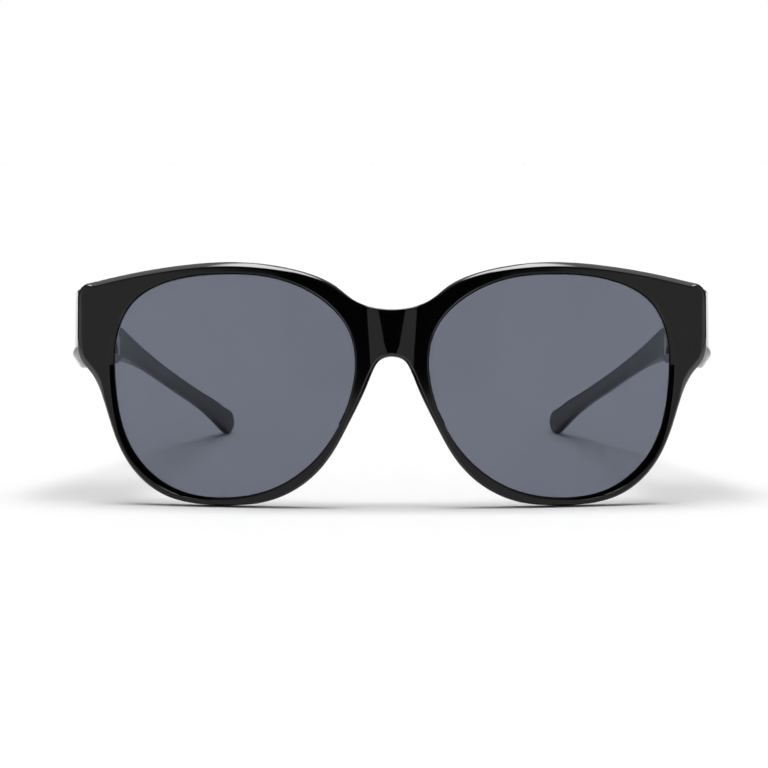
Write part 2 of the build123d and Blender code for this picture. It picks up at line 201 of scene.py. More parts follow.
def tube(sections):
    # Points and faces of closed sections joined one after another, with both ends capped
    count = len(sections[0])
    last = (len(sections) - 1) * count
    caps = [tuple(range(count))[::-1], tuple(last + j for j in range(count))]
    return np.concatenate(sections), ringFaces(len(sections), count) + caps


def meshObject(name, points, faces, material):
    mesh = bpy.data.meshes.new(name)
    mesh.from_pydata([tuple(p) for p in points], [], faces)
    mesh.polygons.foreach_set("use_smooth", [True] * len(mesh.polygons))
    mesh.materials.append(material)
    piece = bpy.data.objects.new(name, mesh)
    bpy.context.scene.collection.objects.link(piece)
    return piece


def tidyMesh(piece, merge=0.002 * mm):
    work = bmesh.new()
    work.from_mesh(piece.data)
    bmesh.ops.remove_doubles(work, verts=work.verts, dist=merge)
    bmesh.ops.recalc_face_normals(work, faces=work.faces)
    work.to_mesh(piece.data)
    work.free()
    return piece


def settledMesh(piece):
    # The piece takes the result of its modifiers as its plain mesh
    graph = bpy.context.evaluated_depsgraph_get()
    settled = bpy.data.meshes.new_from_object(piece.evaluated_get(graph))
    piece.modifiers.clear()
    piece.data = settled


# Materials
def linear(hexColor):
    parts = [int(hexColor[i:i + 2], 16) / 255 for i in (1, 3, 5)]
    return [c / 12.92 if c <= 0.04045 else ((c + 0.055) / 1.055) ** 2.4 for c in parts] + [1]


def addNode(tree, kind, inputs={}, **settings):
    # An input is given a value, a socket or a node whose first output it takes
    node = tree.nodes.new(kind)
    for name, value in settings.items():
        setattr(node, name, value)
    for name, value in inputs.items():
        if isinstance(value, bpy.types.Node):
            value = value.outputs[0]
        if isinstance(value, bpy.types.NodeSocket):
            tree.links.new(value, node.inputs[name])
        else:
            node.inputs[name].default_value = value
    return node


def newMaterial(name):
    material = bpy.data.materials.new(name)
    material.use_nodes = True
    material.node_tree.nodes.clear()
    return material, material.node_tree


def glossBlackMoulding():
    # Injection-moulded gloss black plastic: a hard polished skin with a faint moulding ripple
    # and hairline wiping marks that only show in the edge of a highlight
    look = {"color": "#050506", "roughness": 0.035, "ior": 1.5, "rippleSize": 9.0 * mm,
            "rippleHeight": 0.006 * mm, "markSize": 1.6 * mm, "markRoughness": 0.02}
    material, tree = newMaterial("glossBlackMoulding")
    spot = addNode(tree, "ShaderNodeTexCoord").outputs["Object"]
    ripple = addNode(tree, "ShaderNodeTexNoise",
                     {"Vector": spot, "Scale": 1 / look["rippleSize"], "Detail": 1.0})
    bump = addNode(tree, "ShaderNodeBump", {"Height": ripple, "Distance": look["rippleHeight"]})
    marks = addNode(tree, "ShaderNodeTexNoise",
                    {"Vector": spot, "Scale": 1 / look["markSize"], "Detail": 3.0})
    rough = addNode(tree, "ShaderNodeMapRange",
                    {"Value": marks, "To Min": look["roughness"],
                     "To Max": look["roughness"] + look["markRoughness"]})
    shader = addNode(tree, "ShaderNodeBsdfPrincipled",
                     {"Base Color": linear(look["color"]), "IOR": look["ior"],
                      "Roughness": rough, "Normal": bump})
    addNode(tree, "ShaderNodeOutputMaterial", {"Surface": shader})
    return material


def smokeLens():
    # Polycarbonate lens dyed smoke grey: clear and polished, with a slightly cold tint
    look = {"tint": "#6c707c", "ior": 1.2, "roughness": 0.0, "shadow": "#9a9ca6",
            "dyeSize": 40.0 * mm, "dyeShare": 0.03}
    material, tree = newMaterial("smokeLens")
    spot = addNode(tree, "ShaderNodeTexCoord").outputs["Object"]
    dye = addNode(tree, "ShaderNodeTexNoise",
                  {"Vector": spot, "Scale": 1 / look["dyeSize"], "Detail": 0.0})
    value = addNode(tree, "ShaderNodeMapRange",
                    {"Value": dye, "To Min": 1 - look["dyeShare"], "To Max": 1 + look["dyeShare"]})
    tint = addNode(tree, "ShaderNodeHueSaturation", {"Value": value, "Color": linear(look["tint"])})
    shader = addNode(tree, "ShaderNodeBsdfPrincipled",
                     {"Base Color": tint, "Roughness": look["roughness"], "IOR": look["ior"],
                      "Transmission Weight": 1.0})
    clear = addNode(tree, "ShaderNodeBsdfTransparent", {"Color": linear(look["shadow"])})
    isShadow = addNode(tree, "ShaderNodeLightPath").outputs["Is Shadow Ray"]
    mixed = addNode(tree, "ShaderNodeMixShader", {0: isShadow, 1: shader, 2: clear})
    addNode(tree, "ShaderNodeOutputMaterial", {"Surface": mixed})
    return material


def paintedShadowSeam():
    # Matt black line of the moulding next to each lens: painted shadow that stands in for the dark gap
    # between rim and lens
    look = {"color": "#030303", "roughness": 0.7, "specular": 0.1, "grainSize": 0.3 * mm,
            "grainHeight": 0.002 * mm}
    material, tree = newMaterial("paintedShadowSeam")
    spot = addNode(tree, "ShaderNodeTexCoord").outputs["Object"]
    grain = addNode(tree, "ShaderNodeTexNoise", {"Vector": spot, "Scale": 1 / look["grainSize"]})
    bump = addNode(tree, "ShaderNodeBump", {"Height": grain, "Distance": look["grainHeight"]})
    shader = addNode(tree, "ShaderNodeBsdfPrincipled",
                     {"Base Color": linear(look["color"]), "Roughness": look["roughness"],
                      "Specular IOR Level": look["specular"], "Normal": bump})
    addNode(tree, "ShaderNodeOutputMaterial", {"Surface": shader})
    return material


def nickelSilver():
    # Stamped nickel silver of the hinge leaves: warm grey metal with fine drawn lines
    look = {"color": "#b9b6ad", "roughness": 0.28, "lineSize": 0.12 * mm, "lineLength": 4.0 * mm,
            "lineHeight": 0.004 * mm, "lineStrength": 0.6}
    material, tree = newMaterial("nickelSilver")
    spot = addNode(tree, "ShaderNodeTexCoord").outputs["Object"]
    across, along = 1 / look["lineSize"], 1 / look["lineLength"]
    stretch = addNode(tree, "ShaderNodeMapping", {"Vector": spot, "Scale": (across, along, across)})
    lines = addNode(tree, "ShaderNodeTexNoise", {"Vector": stretch, "Scale": 1.0, "Detail": 2.0})
    bump = addNode(tree, "ShaderNodeBump", {"Height": lines, "Strength": look["lineStrength"],
                                            "Distance": look["lineHeight"]})
    shader = addNode(tree, "ShaderNodeBsdfPrincipled",
                     {"Base Color": linear(look["color"]), "Metallic": 1.0,
                      "Roughness": look["roughness"], "Normal": bump})
    addNode(tree, "ShaderNodeOutputMaterial", {"Surface": shader})
    return material


def polishedScrewSteel():
    # Turned stainless steel screws: bright heads with faint wear from the screwdriver
    look = {"color": "#c9cacc", "roughness": 0.16, "wearSize": 0.5 * mm, "wearRoughness": 0.16}
    material, tree = newMaterial("polishedScrewSteel")
    spot = addNode(tree, "ShaderNodeTexCoord").outputs["Object"]
    wear = addNode(tree, "ShaderNodeTexNoise",
                   {"Vector": spot, "Scale": 1 / look["wearSize"], "Detail": 4.0})
    rough = addNode(tree, "ShaderNodeMapRange",
                    {"Value": wear, "To Min": look["roughness"],
                     "To Max": look["roughness"] + look["wearRoughness"]})
    shader = addNode(tree, "ShaderNodeBsdfPrincipled",
                     {"Base Color": linear(look["color"]), "Metallic": 1.0, "Roughness": rough})
    addNode(tree, "ShaderNodeOutputMaterial", {"Surface": shader})
    return material


blackPlastic = glossBlackMoulding()
paintedShadowPlastic = paintedShadowSeam()
lensPlastic = smokeLens()
hingeMetal = nickelSilver()
screwSteel = polishedScrewSteel()
print("materials made")


# Outline of the left half of the front, from the bridge over the brow and round to the nose
def halfOutline():
    radius, step = front["topCornerRadius"], front["columnStep"]
    brow = smoothCurve(bothSides(front["browShares"]), front["finePoints"]) * halfSize
    brow = brow[brow[:, 0] >= 0]
    rim = smoothCurve(bothSides(front["rimShares"][::-1]), front["finePoints"]) * halfSize
    rim = rim[rim[:, 0] >= 0][::-1]
    centres = brow + rightNormals(brow) * radius
    last = int(np.argmax(centres[:, 0] >= halfWidth - radius))
    centre = centres[last]
    start = math.atan2(*(brow[last] - centre)[::-1])
    turns = np.linspace(start, 0, int(radius / front["cornerStep"]))
    corner = centre + radius * np.c_[np.cos(turns), np.sin(turns)]
    side = np.array([corner[-1], rim[0]])
    parts = [resample(brow[:last + 1], step), corner, resample(side, step), resample(rim, step)]
    return np.concatenate([parts[0]] + [part[1:] for part in parts[1:]])


lens = {
    "thickness": 1.2, "recess": 0.9, "groove": 0.7, "clearance": 0.04, "edgeRound": 0.2,
    # Outline in shares of the half size
    "shares": [(0.075, 1.000), (0.522, 0.947), (0.842, 0.758), (0.985, 0.400), (0.984, 0),
               (0.843, -0.558), (0.455, -0.930), (0.061, -1.000), (-0.305, -0.930),
               (-0.756, -0.560), (-0.972, -0.050), (-1.000, 0.182), (-0.937, 0.503),
               (-0.690, 0.790), (-0.274, 0.972)],
    # Shallow slope round the opening: direction from its centre in degrees, width, fall
    "slope": [(-180, 0.5, 0.24), (-120, 0.45, 0.3), (-90, 0.6, 0.3), (-60, 1.2, 0.24),
              (-35, 1.8, 0.24), (-10, 1.45, 0.24), (10, 1.35, 0.24), (25, 0.9, 0.24),
              (42, 0.6, 0.06), (75, 0.5, 0.02), (110, 0.5, 0.02), (150, 0.5, 0.15),
              (180, 0.5, 0.24)],
    # Rows of the slope in shares of its width, with a softer fall after slopeBend
    "slopeRows": (0.3, 0.6, 0.8, 0.87, 0.93, 0.97), "slopeBend": 0.8, "slopeEase": 2.5,
    # Matt seam between the slope and the groove, painted black as the shadow of the gap at the lens
    "shadowSeamWidth": 0.22, "shadowSeamRows": 5,
    "finePoints": 4001, "rings": 26, "columns": 320, "edgeRows": 3,
}
lensInnerX = halfWidth * front["rimShares"][front["nosePoint"]][0] + front["rimAtNose"]
lensHalf = np.array([halfWidth - front["rimOutside"] - lensInnerX,
                     front["height"] - front["rimAbove"] - front["rimBelow"]]) / 2
lensCentre = np.array([lensInnerX, front["rimBelow"]]) + lensHalf
lensLoop = smoothCurve(lens["shares"], lens["finePoints"], closed=True)[:-1] * lensHalf + lensCentre
lensOut = -rightNormals(lensLoop, closed=True)
lensTurn = np.arctan2(*(lensLoop - lensCentre).T[::-1])


def lensPoints(turns, grow):
    # Points of the lens opening in these directions from its centre, moved out by grow
    x, z, outX, outZ = [np.interp(turns, lensTurn, line, period=2 * math.pi)
                        for line in (*lensLoop.T, *lensOut.T)]
    return np.c_[x + grow * outX, z + grow * outZ]


bridge = {
    # Depths of the facets, the length over which the sunk ones end, and the round of a corner
    "raise": 0.2, "sunk": 0.22, "fade": 7.0, "soft": 0.25,
    # Half width at which the side facets would meet the raised one, by height
    "plane": [(35.0, 1.42), (47.0, 3.2)],
    # Half widths of the middle facet and of the outer edges of the side facets, by height
    "middle": [(35.0, 0.9), (36.0, 1.05), (37.4, 1.5), (38.6, 1.85), (45.0, 2.9), (47.0, 3.2)],
    "outer": [(32.0, 5.1), (35.8, 5.35), (46.0, 6.05)],
}


def ramp(x, soft):
    # Smooth corner from 0 to a rising line, with the corner rounded over the soft distance
    return np.where(x <= -soft, 0, np.where(x >= soft, x, (x + soft) ** 2 / (4 * soft)))


def bridgeRelief(x, z):
    # How far the face lies behind its cylinder: a raised middle facet and two side facets
    x = np.abs(x)
    middle, plane, outer = [np.interp(z, *np.array(bridge[name]).T)
                            for name in ("middle", "plane", "outer")]
    soft, run = bridge["soft"], bridge["fade"]
    slope = (bridge["sunk"] + bridge["raise"]) / (outer - plane)
    back = bridge["sunk"] / run
    return (-bridge["raise"] + slope * (ramp(x - middle, soft) + middle - plane)
            - (slope + back) * ramp(x - outer, soft) + back * ramp(x - outer - run, soft))


def facePoint(xz, depth, relief=True):
    x, z = np.asarray(xz).T
    shift = bridgeRelief(x, z) if relief else 0
    return np.c_[x, frontY(x) + shift + depth, z]


# Flat edge in section: a soft turn out of the face, the flat, and a tight turn into the wall
chamferShares = [(0.95, 0.003), (0.89, 0.015), (0.82, 0.045), (0.75, 0.09), (0.69, 0.145),
                 (0.4, 0.47), (0.1, 0.82), (0.03, 0.92), (0, 1)]


def bevelShares(flat):
    # Rows of an edge between the face at (1, 0) and the wall at (0, 1), round or flat
    roundRows = quarterRound(len(chamferShares))[1:]
    flat = flat[None, :, None]
    return roundRows[:, None, :] * (1 - flat) + np.array(chamferShares)[:, None, :] * flat


def frontShell():
    # Rows of points from the lens groove over the face, then round the outer edge, then over
    # the back into the groove again. Those of the face and the back are closed rings.
    outline = halfOutline()
    outline[[0, -1], 0] = 0
    inward = rightNormals(outline)
    inward[0], inward[-1] = (0, -1), (0, 1)
    places, *sizes = zip(*front["edge"])
    keys = [int(np.argmin(np.linalg.norm(outline - np.array(spot) * halfSize, axis=1)))
            for spot in places]
    width, depth, flat = [np.interp(np.arange(len(outline)), keys, size) for size in sizes]
    thickness, backRound = front["thickness"], front["backRound"]
    faceEdge = outline + inward * width[:, None]
    backEdge = outline + inward * backRound
    # Points up the middle of the bridge close the rings
    middleCount = int((faceEdge[0, 1] - faceEdge[-1, 1]) / front["columnStep"])
    up = np.linspace(0, 1, middleCount + 2)[1:-1, None]
    faceEdge, backEdge = [np.concatenate([edge, edge[-1] + up * (edge[0] - edge[-1])])
                          for edge in (faceEdge, backEdge)]
    turns = np.arctan2(*(faceEdge - lensCentre).T[::-1])
    angles, *slope = np.array(lens["slope"]).T
    slopeWidth, slopeFall = [np.interp(np.degrees(turns), angles, line) for line in slope]
    slopeDepth = slopeWidth * slopeFall
    grooveOut = lens["groove"] + lens["clearance"]
    frontLip = lens["recess"] - lens["clearance"]
    backLip = lens["recess"] + lens["thickness"] + lens["clearance"]
    seam = lens["shadowSeamWidth"]
    rows = [facePoint(lensPoints(turns, out), frontLip, False) for out in (grooveOut, 0)]
    # Rows of the seam round the groove, which take the matt black of painted shadow
    for left, gained in quarterRound(lens["shadowSeamRows"] - 2):
        rows.append(facePoint(lensPoints(turns, seam * gained), slopeDepth + seam * left))
    for share in lens["slopeRows"]:
        fall = 1 - share + max(0, share - lens["slopeBend"]) ** 2 * lens["slopeEase"]
        rows.append(facePoint(lensPoints(turns, seam + share * (slopeWidth - seam)), fall * slopeDepth))
    lensEdge = lensPoints(turns, slopeWidth)
    for share in closeAtEnds(front["faceEnds"], front["faceRows"]):
        rows.append(facePoint(lensEdge + share * (faceEdge - lensEdge), 0))
    edges = []
    for row in bevelShares(flat):
        edges.append(facePoint(outline + inward * (row[:, 0] * width)[:, None], row[:, 1] * depth))
    wallTop = edges[-1][:, 1] - frontY(outline[:, 0])
    for share in np.linspace(0, 1, front["wallRows"] + 1)[1:]:
        edges.append(facePoint(outline, wallTop + share * (thickness - backRound - wallTop), False))
    for left, gained in quarterRound(front["roundRows"])[1:-1]:
        spots = outline + inward * backRound * gained
        edges.append(facePoint(spots, thickness - backRound * left, False))
    holeBack = lensPoints(turns, backRound)
    back = [facePoint(backEdge + share * (holeBack - backEdge), thickness, False)
            for share in closeAtEnds(front["backEnds"], front["backRows"])]
    for left, gained in quarterRound(front["roundRows"])[1:]:
        spots = lensPoints(turns, backRound * left)
        back.append(facePoint(spots, thickness - backRound * gained, False))
    back += [facePoint(lensPoints(turns, out), backLip, False) for out in (0, grooveOut)]
    return rows, edges, back


def frontHalf():
    # Points and faces of the left half, open at the middle, and how many faces its seam of painted
    # shadow has
    rows, edges, back = frontShell()
    shell = rows + edges + back
    around, outer = len(rows[0]), len(edges[0])
    starts = np.cumsum([0] + [len(row) for row in shell])[:-1].tolist()
    faces = []
    for i, start in enumerate(starts):
        after = starts[(i + 1) % len(starts)]
        # Rows of the outer edge aren't closed, so the faces to them stop at the middle
        stops = len(rows) - 1 <= i < len(rows) + len(edges)
        for k in range(outer - 1 if stops else around):
            n = (k + 1) % around
            faces.append((start + k, start + n, after + n, after + k))
    return np.concatenate(shell), faces, lens["shadowSeamRows"] * around


def endSection(y, innerX, outerX, top, bottom, chamfer, radius):
    # Rounded section of a temple or end piece at a depth y, with its lower outer corner cut
    wide, tall = outerX - innerX, top - bottom
    radius = min(radius, wide / temple["roundLimit"], tall / temple["roundLimit"])
    cut = max(0.0, chamfer - radius * (2 - math.sqrt(2)))
    cut = min(cut, wide - 2 * radius, tall - 2 * radius)
    left, right, low, high = innerX + radius, outerX - radius, bottom + radius, top - radius
    quarter, eighth = temple["cornerRows"]
    corners = [((right, high), 90, 0, quarter), ((right, low + cut), 0, -45, eighth),
               ((right - cut, low), -45, -90, eighth), ((left, low), -90, -180, quarter),
               ((left, high), 180, 90, quarter)]
    ring = []
    for (x, z), start, end, count in corners:
        for turn in np.radians(np.linspace(start, end, count)):
            ring.append((x + radius * math.cos(turn), y, z + radius * math.sin(turn)))
    return np.array(ring)


def softEnd(section, radius, way):
    # The first sections of an end with a small rounded edge, up to the full section
    middle = section.mean(axis=0)
    reach = np.abs(section - middle).max(axis=0)
    ends = []
    for left, gained in quarterRound(temple["endRows"]):
        shrinkX, shrinkZ = radius * left / reach[[0, 2]]
        moved = middle + (section - middle) * (1 - shrinkX, 1, 1 - shrinkZ)
        moved[:, 1] = section[:, 1] + way * radius * gained
        ends.append(moved)
    return ends


def templeInnerX(y):
    toeIn, radius = math.radians(temple["toeIn"]), temple["bowRadius"]
    centreX = rootInnerX - radius * math.cos(toeIn)
    centreY = temple["jointY"] - radius * math.sin(toeIn)
    return centreX + np.sqrt(radius ** 2 - (np.asarray(y) - centreY) ** 2)


def alongTemple(distance, height):
    return (temple["jointY"] + distance * math.cos(drop) + height * math.sin(drop),
            armTop - distance * math.sin(drop) + height * math.cos(drop))


def templeSideLines(startY, rootHigh, rootLow):
    # Upper and lower line of the temple seen from the side, which meet at the end of its tip
    length, height, droop = temple["length"], temple["paddleHeight"], temple["droop"]
    count, armHeight = temple["linePoints"], temple["armHeight"]
    tipDistance = length - height / 2
    curveOut, curveIn = [share * length for share in temple["paddleCurve"]]
    half = temple["shoulderLength"] / 2
    topLine = np.concatenate([
        bezier([(startY, rootHigh), alongTemple(half, temple["shoulderDrop"]),
                alongTemple(half, 0), alongTemple(2 * half, 0)], count),
        bezier([alongTemple(temple["paddleStart"] * length, 0), alongTemple(curveIn, 0),
                alongTemple(curveOut, -droop), alongTemple(tipDistance, -droop)], count)])
    lowPoints = [(startY, rootLow)] + [
        alongTemple(share * length, thinned * (shoulderHeight - armHeight) - shoulderHeight)
        for share, thinned in temple["taperShares"]]
    low = -droop - height
    lowLine = np.concatenate([
        smoothCurve(lowPoints, temple["finePoints"]),
        bezier([lowPoints[-1], alongTemple(curveOut, -armHeight), alongTemple(curveIn, low),
                alongTemple(tipDistance, low)], count)[1:]])
    turns = np.linspace(math.pi / 2, -math.pi / 2, temple["tipPoints"]) - drop
    tipArc = np.array(alongTemple(tipDistance, -droop - height / 2)) \
        + height / 2 * np.c_[np.cos(turns), np.sin(turns)]
    farthest = int(np.argmax(tipArc[:, 0]))
    return (np.concatenate([topLine, tipArc[1:farthest + 1]]),
            np.concatenate([lowLine, tipArc[farthest:-1][::-1]]))


def templeSections():
    startY = temple["jointY"] + temple["jointGap"]
    rootDepth = temple["rootHeight"] / math.cos(drop)
    rootLow = rootTop - temple["jointGap"] * math.tan(drop) - rootDepth
    topLine, lowLine = templeSideLines(startY, rootLow + rootDepth, rootLow)
    planLength = temple["length"] * math.cos(drop)
    swellLine = smoothCurve([(startY + share * planLength, swell)
                             for share, swell in temple["swellShares"]], temple["finePoints"])
    endY = topLine[-1, 0]
    even = np.linspace(0, 1, temple["stations"])
    stations = (startY + (endY - startY) * (1 - (1 - even) ** temple["stationPower"]))[:-1]
    sections = []
    for y in stations:
        top, bottom = np.interp(y, *topLine.T), np.interp(y, *lowLine.T)
        inner = float(templeInnerX(y))
        swell = temple["swell"] * np.interp(y, *swellLine.T, right=0)
        outer = inner + temple["armThickness"] + swell
        # The lower outer corner is cut along one plane, which the swell runs out of
        plane = rootLow - math.tan(drop) * (y - startY)
        chamfer = max(0.0, outer - bottom - jointOuterX + temple["rootCorner"] + plane)
        sections.append(endSection(y, inner, outer, top, bottom, chamfer, temple["round"]))
    last = sections[-1]
    tip = last.mean(axis=0)
    end = tip + (last - tip) * (1, 1, temple["tipShrink"]) + (0, endY - stations[-1], 0)
    return softEnd(sections[0], temple["jointRound"], 1) + sections[1:] + [end]


def endPieceSections():
    startY = float(frontY(halfWidth)) + front["thickness"] * temple["endPieceStart"]
    endY = temple["jointY"]
    sections = []
    for y in np.linspace(startY + temple["jointGap"], endY, temple["endPieceStations"]):
        share = (y - startY) / (endY - startY)
        top = rootTop + (endY - y) * math.tan(drop)
        bottom = top - temple["rootHeight"] / math.cos(drop)
        bulge = 4 * temple["endPieceFlare"] * share * (1 - share)
        outer = halfWidth + share * (jointOuterX - halfWidth) + bulge
        sections.append(endSection(y, rootInnerX, outer, top, bottom, temple["rootCorner"],
                                   temple["endPieceRound"]))
    return sections[:-1] + softEnd(sections[-1], temple["jointRound"], -1)[::-1]


ridge = {"inset": 0.5, "width": 1.9, "depth": 3.2, "leastHeight": 0.05, "stations": 28,
         "points": 20, "squareness": 0.6}


def ridgeSections():
    # Ridge behind the rim beside the nose: an arc in height along the rim, square in section
    first = front["nosePoint"] - 1
    path = smoothCurve(front["rimShares"][first:first + 3], ridge["stations"]) * halfSize
    path = path + (ridge["inset"] + ridge["width"] / 2, 0)
    along = np.linspace(-1, 1, ridge["stations"])
    base = front["thickness"] / 2
    chord = path[-1, 1] - path[0, 1]
    sagitta = base + ridge["depth"]
    radius = (chord ** 2 / 4 + sagitta ** 2) / (2 * sagitta)
    rise = np.sqrt(np.maximum(radius ** 2 - (along * chord / 2) ** 2, 0)) - (radius - sagitta)
    turns = np.linspace(0, math.pi, ridge["points"])
    across = np.sign(np.cos(turns)) * np.abs(np.cos(turns)) ** ridge["squareness"]
    outwards = np.abs(np.sin(turns)) ** ridge["squareness"]
    sections = []
    for (x, z), height in zip(path, np.maximum(rise, ridge["leastHeight"])):
        depth = float(frontY(x)) + base + height * outwards
        sections.append(np.c_[x + ridge["width"] / 2 * across, depth, np.full(len(turns), z)])
    return sections


def weld(piece, others):
    for other in others:
        union = piece.modifiers.new("weld", "BOOLEAN")
        union.operation = "UNION"
        union.solver = "EXACT"
        union.object = other
    settledMesh(piece)
    for other in others:
        bpy.data.objects.remove(other)


def makeFront():
    points, faces, shadowSeamFaces = frontHalf()
    half = len(faces)
    both = np.concatenate([place(points), place(mirrored(points))])
    faces = faces + [tuple(i + len(points) for i in face[::-1]) for face in faces]
    shell = meshObject("frontMoulding", both, faces, blackPlastic)
    # The faces round each lens groove take the matt black, a painted shadow of the gap between rim and
    # lens
    shell.data.materials.append(paintedShadowPlastic)
    shadowSeamIndex = [int(i % half < shadowSeamFaces) for i in range(2 * half)]
    shell.data.polygons.foreach_set("material_index", shadowSeamIndex)
    tidyMesh(shell)
    extras = []
    for name, sections in (("endPiece", endPieceSections()), ("noseRidge", ridgeSections())):
        extraPoints, extraFaces = tube(sections)
        for side in (extraPoints, mirrored(extraPoints)):
            extras.append(tidyMesh(meshObject(name, place(side), extraFaces, blackPlastic)))
    weld(shell, extras)
    shell.data.set_sharp_from_angle(angle=math.radians(front["sharpAngle"]))
    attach(shell, "front")
    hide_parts("front_frame")


def makeLens(name, node, mirror):
    turns = np.linspace(-math.pi, math.pi, lens["columns"] + 1)[:-1]
    small, count = lens["edgeRound"], lens["columns"]
    frontDepth, backDepth = lens["recess"], lens["recess"] + lens["thickness"]
    edge = lensPoints(turns, lens["groove"] - small)
    middle = lensCentre[None, :]
    # Rings from the middle to the edge and round it, each with how far it lies inside the face
    side = [(middle + share * (edge - middle), 0)
            for share in np.linspace(0, 1, lens["rings"] + 1)[1:]]
    side += [(lensPoints(turns, lens["groove"] - small * left), small * gained)
             for left, gained in quarterRound(lens["edgeRows"])[1:]]
    rings = [facePoint(spots, frontDepth + inside, False) for spots, inside in side]
    rings += [facePoint(spots, backDepth - inside, False) for spots, inside in side[::-1]]
    poles = [facePoint(middle, depth, False) for depth in (frontDepth, backDepth)]
    points = np.concatenate(rings + poles)
    last, pole = (len(rings) - 1) * count, len(rings) * count
    faces = ringFaces(len(rings), count)
    for k in range(count):
        n = (k + 1) % count
        faces += [(pole, n, k), (pole + 1, last + k, last + n)]
    spots = place(mirrored(points) if mirror else points)
    piece = tidyMesh(meshObject(name, spots, faces, lensPlastic))
    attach(piece, "front")
    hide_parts(node)


def makeTemple(name, node, body, mirror):
    points, faces = tube(templeSections())
    spots = place(mirrored(points) if mirror else points)
    piece = tidyMesh(meshObject(name, spots, faces, blackPlastic))
    piece.data.set_sharp_from_angle(angle=math.radians(temple["sharpAngle"]))
    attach(piece, body)
    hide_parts(node)


makeFront()
print("front made")
makeLens("lensLeft", "lens_left", False)
makeLens("lensRight", "lens_right", True)
makeTemple("templeLeft", "temple_left", "left_temple", False)
makeTemple("templeRight", "temple_right", "right_temple", True)
print("lenses and temples made")

screw = {
    "leafSeat": 0.6, "spacing": 3.8, "frontDistance": 4.4, "templeDistances": (4.4, 9.2),
    "pin": {"Shank Radius": 0.7, "Shank Length": 8.24, "Head Radius": 1.25, "Head Height": 0.7},
    "anchor": {"Shank Radius": 0.6, "Shank Length": 2.6, "Head Radius": 1.05, "Head Height": 0.5},
    "both": {"Head Round": 0.12, "Slot Width": 0.35, "Slot Depth": 0.3},
    "slotLength": 10, "sides": 40, "merge": 0.0005, "sharpAngle": 30,
}


# Node tree that puts a slotted screw on every point, its head towards Z and its slot along Y
def screwTree():
    tree = bpy.data.node_groups.new("slottedScrews", "GeometryNodeTree")
    sizes = [(name, "INPUT", "Float") for name in (*screw["pin"], *screw["both"])]
    for name, way, kind in [("Geometry", "INPUT", "Geometry"), *sizes, ("Turn", "INPUT", "Vector"),
                            ("Material", "INPUT", "Material"), ("Geometry", "OUTPUT", "Geometry")]:
        tree.interface.new_socket(name, in_out=way, socket_type="NodeSocket" + kind)
    given = addNode(tree, "NodeGroupInput").outputs
    sides = screw["sides"]
    wallHeight = addNode(tree, "ShaderNodeMath",
                         {0: given["Head Height"], 1: given["Head Round"]}, operation="SUBTRACT")
    topRadius = addNode(tree, "ShaderNodeMath",
                        {0: given["Head Radius"], 1: given["Head Round"]}, operation="SUBTRACT")
    shankMiddle = addNode(tree, "ShaderNodeMath", {0: given["Shank Length"], 1: -0.5},
                          operation="MULTIPLY")
    wallMiddle = addNode(tree, "ShaderNodeMath", {0: wallHeight, 1: 0.5}, operation="MULTIPLY")
    slotTall = addNode(tree, "ShaderNodeMath", {0: given["Slot Depth"], 1: 2.0}, operation="MULTIPLY")
    slotSize = addNode(tree, "ShaderNodeCombineXYZ",
                       {"X": given["Slot Width"], "Y": screw["slotLength"] * mm, "Z": slotTall})
    shank = addNode(tree, "GeometryNodeMeshCylinder",
                    {"Vertices": sides, "Radius": given["Shank Radius"], "Depth": given["Shank Length"]})
    wall = addNode(tree, "GeometryNodeMeshCylinder",
                   {"Vertices": sides, "Radius": given["Head Radius"], "Depth": wallHeight})
    top = addNode(tree, "GeometryNodeMeshCone",
                  {"Vertices": sides, "Radius Top": topRadius,
                   "Radius Bottom": given["Head Radius"], "Depth": given["Head Round"]})
    slot = addNode(tree, "GeometryNodeMeshCube", {"Size": slotSize})
    union = addNode(tree, "GeometryNodeMeshBoolean", operation="UNION")
    cut = addNode(tree, "GeometryNodeMeshBoolean", {0: union}, operation="DIFFERENCE")
    for shape, height, target in ((shank, shankMiddle, union), (wall, wallMiddle, union),
                                  (top, wallHeight, union), (slot, given["Head Height"], cut)):
        up = addNode(tree, "ShaderNodeCombineXYZ", {"Z": height})
        moved = addNode(tree, "GeometryNodeTransform", {"Geometry": shape, "Translation": up})
        tree.links.new(moved.outputs[0], target.inputs[1])
    turn = addNode(tree, "FunctionNodeEulerToRotation", {0: given["Turn"]})
    placed = addNode(tree, "GeometryNodeInstanceOnPoints",
                     {"Points": given["Geometry"], "Instance": cut, "Rotation": turn})
    real = addNode(tree, "GeometryNodeRealizeInstances", {0: placed})
    dressed = addNode(tree, "GeometryNodeSetMaterial", {"Geometry": real, "Material": given["Material"]})
    addNode(tree, "NodeGroupOutput", {0: dressed})
    return tree


def makeScrews(name, node, body, kind, places, head, run, mirror):
    head, run = Vector(head), Vector(run)
    if mirror:
        places = mirrored(places)
        head.x, run.x = -head.x, -run.x
    turn = stance.to_3x3() @ Matrix((run.cross(head), run, head)).transposed()
    piece = meshObject(name, place(places), [], screwSteel)
    maker = piece.modifiers.new("screws", "NODES")
    maker.node_group = slottedScrews
    sockets = {item.name: item.identifier for item in slottedScrews.interface.items_tree
               if item.in_out == "INPUT"}
    for key, value in {**screw[kind], **screw["both"]}.items():
        maker[sockets[key]] = value * mm
    maker[sockets["Turn"]] = turn.to_euler()
    maker[sockets["Material"]] = screwSteel
    settledMesh(piece)
    tidyMesh(piece, screw["merge"] * mm)
    piece.data.polygons.foreach_set("use_smooth", [True] * len(piece.data.polygons))
    piece.data.set_sharp_from_angle(angle=math.radians(screw["sharpAngle"]))
    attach(piece, body)
    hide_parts(node)


